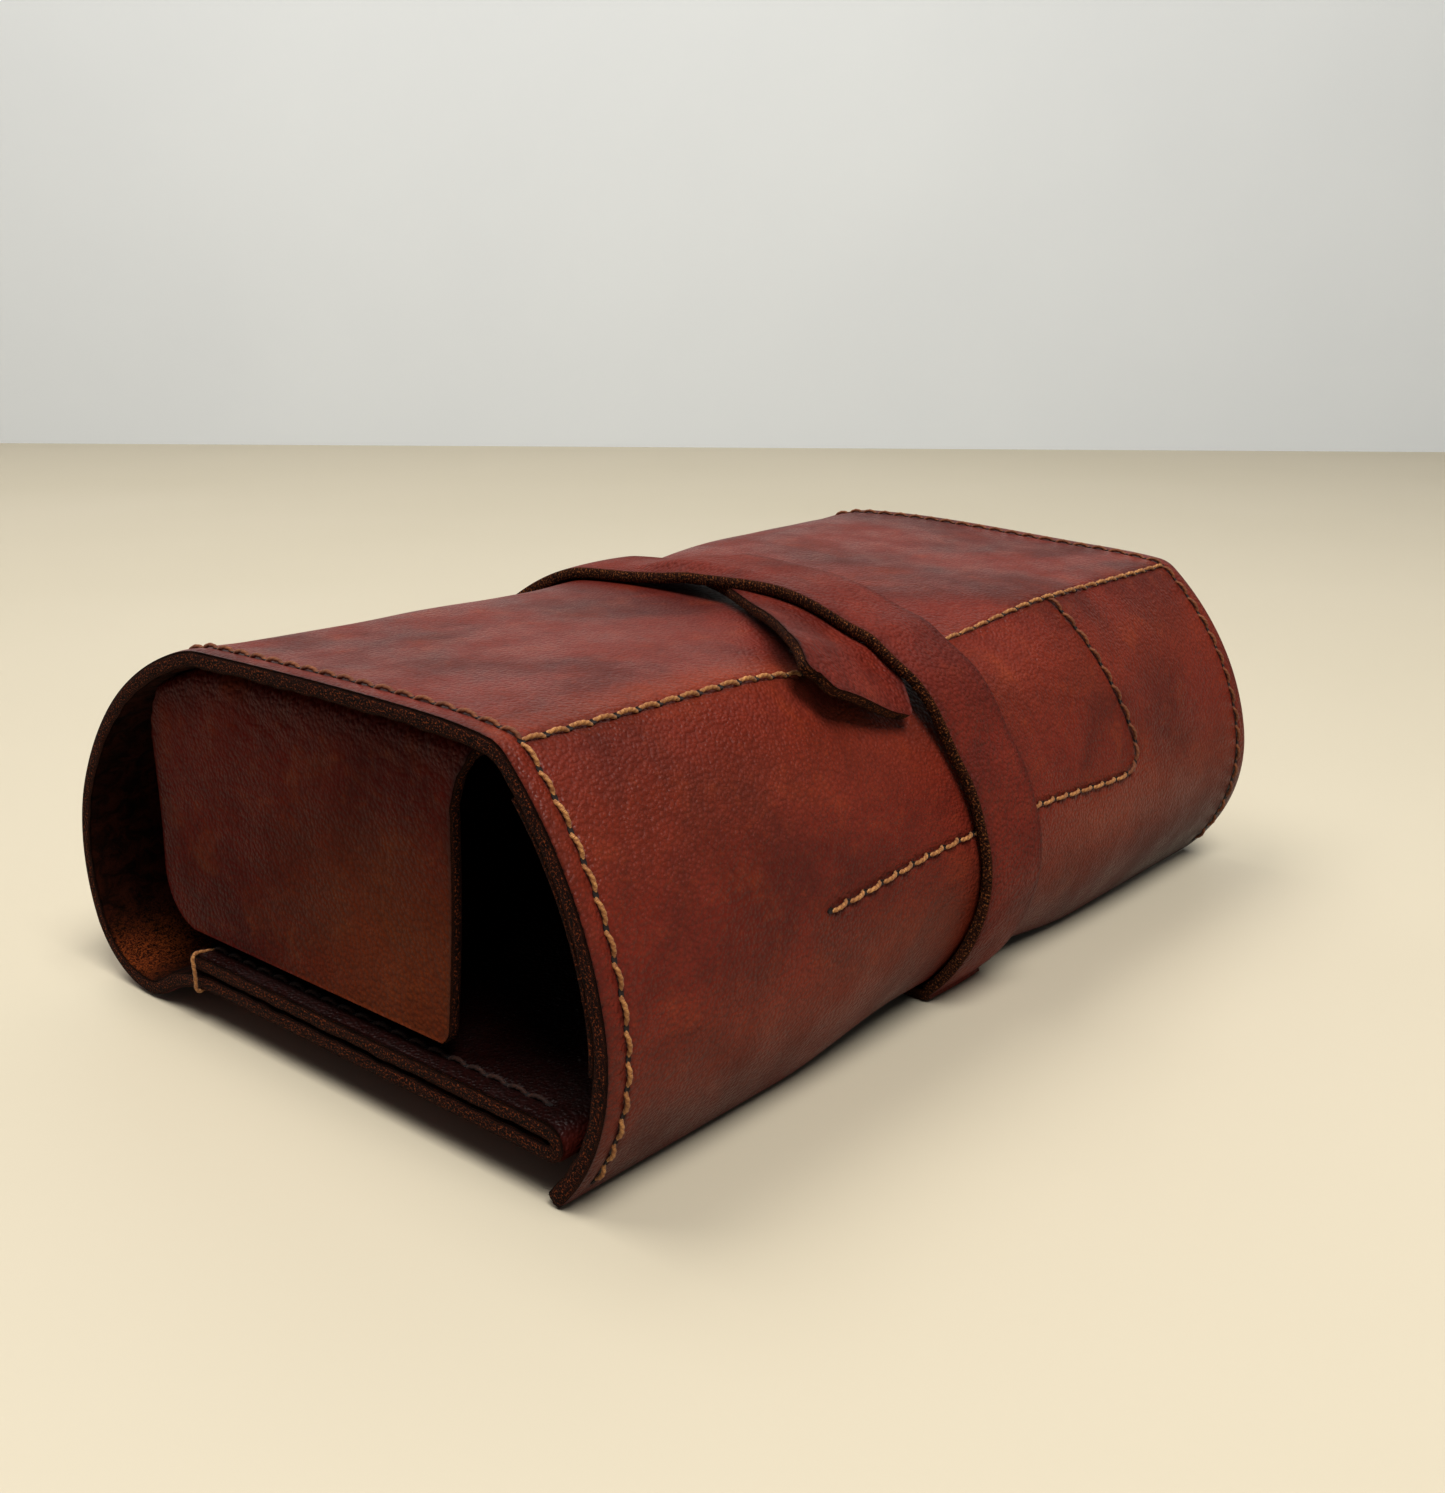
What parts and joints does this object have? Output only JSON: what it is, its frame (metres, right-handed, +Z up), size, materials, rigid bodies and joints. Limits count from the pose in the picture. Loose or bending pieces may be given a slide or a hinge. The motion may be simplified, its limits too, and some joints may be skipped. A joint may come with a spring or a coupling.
{
  "type": "brush roll case",
  "caption": "Rolled leather case for art brushes, stitched by hand, with hinged end flaps and a wrapped closing strap whose tucked tail lifts.",
  "frame": {"origin": "on the table under the middle of the closed case", "axes": "+X along the roll from its near end to its far end, -Y towards the bulging front wall with the slip pocket, +Z up"},
  "size_m": [0.2234, 0.1717, 0.0834],
  "materials": {
    "case_leather": "waxed pull-up leather, chestnut brown",
    "flap_leather": "waxed leather, warm brown",
    "strap_leather": "pebbled leather, dark red-brown",
    "lining_leather": "thin soft leather, dark brown",
    "waxed_thread": "waxed twisted thread, tan"
  },
  "bodies": {
    "case": {"outer_panel": "case_leather", "front_pocket": "lining_leather", "near_flap_band": "case_leather", "far_flap_band": "case_leather", "strap": "strap_leather", "strap_tail_root": "strap_leather", "thread_near_front": "waxed_thread", "thread_near_top": "waxed_thread", "thread_near_pocket": "waxed_thread", "thread_far_front": "waxed_thread", "thread_far_top": "waxed_thread", "thread_far_pocket": "waxed_thread", "thread_long_seam": "waxed_thread", "thread_slip_side": "waxed_thread", "thread_slip_bottom": "waxed_thread", "thread_near_loop": "waxed_thread", "thread_far_loop": "waxed_thread"},
    "near_flap": {"near_flap": "flap_leather"},
    "far_flap": {"far_flap": "flap_leather"},
    "strap_tail": {"strap_tail": "strap_leather"}
  },
  "joints": [
    {"name": "near_flap_hinge", "type": "hinge", "parent": "case", "child": "near_flap", "pos_m": [-0.1069, 0, 0.0675], "axis": [0, 1, 0], "range_deg": [-60, 80]},
    {"name": "far_flap_hinge", "type": "hinge", "parent": "case", "child": "far_flap", "pos_m": [0.1069, 0, 0.0675], "axis": [0, -1, 0], "range_deg": [-60, 80]},
    {"name": "strap_tail_lift", "type": "hinge", "parent": "case", "child": "strap_tail", "pos_m": [-0.0166, -0.0336, 0.079], "axis": [0.0798, 0.9769, 0.1982], "range_deg": [0, 60]}
  ]
}
